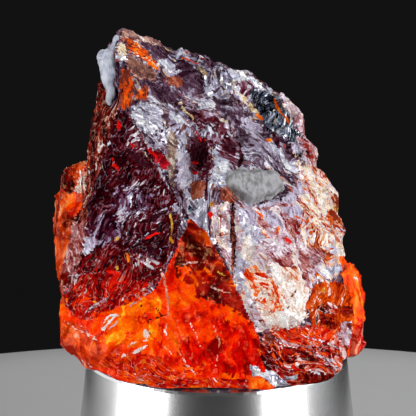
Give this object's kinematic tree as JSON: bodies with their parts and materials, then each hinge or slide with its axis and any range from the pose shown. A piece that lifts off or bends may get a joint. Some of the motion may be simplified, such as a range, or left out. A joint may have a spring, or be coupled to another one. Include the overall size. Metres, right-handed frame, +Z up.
{
  "type": "sphalerite specimen on a pedestal",
  "caption": "Rough gem sphalerite crystal fragment, orange-red and silvery, with small calcite growths, resting on a flared steel display pedestal.",
  "frame": {"origin": "centre of the pedestal's foot, on the surface it stands on", "axes": "+Z up, -Y towards the viewer of the picture, +X to the viewer's right"},
  "size_m": [0.0358, 0.0342, 0.0603],
  "materials": {
    "steel": "fine turned, satin to bright",
    "sphalerite": "resinous to adamantine, part clear",
    "calcite_bead": "waxy",
    "calcite": "matt"
  },
  "bodies": {
    "root": {"pedestal": "steel", "sphalerite": "sphalerite", "calcite_bead": "calcite_bead", "calcite_patch": "calcite"}
  },
  "joints": []
}
